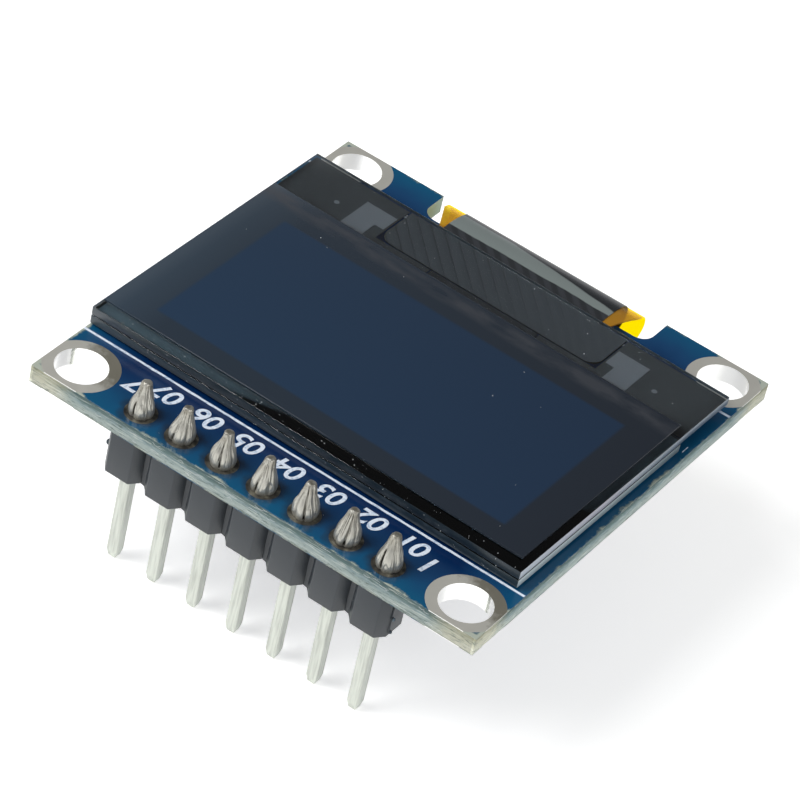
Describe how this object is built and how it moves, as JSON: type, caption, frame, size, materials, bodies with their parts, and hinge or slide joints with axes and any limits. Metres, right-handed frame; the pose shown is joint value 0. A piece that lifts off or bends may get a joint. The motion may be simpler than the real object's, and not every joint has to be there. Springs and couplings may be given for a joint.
{
  "type": "small oled display module",
  "caption": "Small monochrome OLED display module: blue carrier board with plated corner holes, taped glass panel, folded flex and a soldered single-row pin header.",
  "frame": {"origin": "centre of the four corner holes, on the board's back face", "axes": "+Z out of the display side, -Y towards the header edge, +X towards pin 1"},
  "size_m": [0.0274, 0.0275, 0.0116],
  "materials": {
    "laminate": "raw routed glass-fibre laminate, pale edge",
    "solder_mask": "glossy blue solder mask",
    "legend": "matt white printed ink",
    "plating": "dull hot-tin plating",
    "header_plastic": "moulded dark grey nylon, satin",
    "pin_metal": "bright tin-plated brass",
    "solder": "hand-soldered joint, satin grey",
    "tape": "white foam mounting tape",
    "rear_glass": "etched cover glass, cut edges",
    "desiccant": "pale drying sheet",
    "seal": "dark cured sealing resin",
    "emitter": "dark blue unlit light-emitting layer",
    "front_glass": "polished display glass, scribed edges",
    "polarizer": "dark neutral polarizing film, glossy",
    "ledge_metal": "thin dark metal films under glass",
    "black_tape": "black light-blocking tape",
    "chip": "bare polished silicon die",
    "flex_base": "amber polyimide film",
    "flex_cover": "dark glossy coverlay",
    "land": "tinned copper and plated ends",
    "resistor_body": "black glazed chip resistor",
    "capacitor_body": "tan fired ceramic",
    "moulding": "black moulded epoxy"
  },
  "bodies": {
    "root": {"fr4_board": "laminate", "front_solder_mask": "solder_mask", "back_solder_mask": "solder_mask", "front_legend": "legend", "corner_eyelet_1": "plating", "corner_eyelet_2": "plating", "corner_eyelet_3": "plating", "corner_eyelet_4": "plating", "header_pads": "plating", "header_strip": "header_plastic", "header_pin_1": "pin_metal", "header_pin_2": "pin_metal", "header_pin_3": "pin_metal", "header_pin_4": "pin_metal", "header_pin_5": "pin_metal", "header_pin_6": "pin_metal", "header_pin_7": "pin_metal", "solder_joint_1": "solder", "solder_joint_2": "solder", "solder_joint_3": "solder", "solder_joint_4": "solder", "solder_joint_5": "solder", "solder_joint_6": "solder", "solder_joint_7": "solder", "flex_solder_row": "solder", "foam_tape": "tape", "cover_glass": "rear_glass", "desiccant_sheet": "desiccant", "edge_seal": "seal", "emitter_layer": "emitter", "front_glass": "front_glass", "polarizer": "polarizer", "ledge_traces": "ledge_metal", "ledge_marks": "ledge_metal", "shield_tape": "black_tape", "driver_chip": "chip", "flex_cable": "flex_base", "flex_coverlay": "flex_cover", "part_lands": "land", "chip_terminals": "land", "regulator_leads": "land", "resistor_1": "resistor_body", "resistor_2": "resistor_body", "resistor_3": "resistor_body", "resistor_4": "resistor_body", "resistor_5": "resistor_body", "resistor_6": "resistor_body", "resistor_7": "resistor_body", "capacitor_1": "capacitor_body", "capacitor_2": "capacitor_body", "capacitor_3": "capacitor_body", "capacitor_4": "capacitor_body", "capacitor_5": "capacitor_body", "capacitor_6": "capacitor_body", "capacitor_7": "capacitor_body", "regulator_body": "moulding", "diode_body": "moulding"}
  },
  "joints": []
}
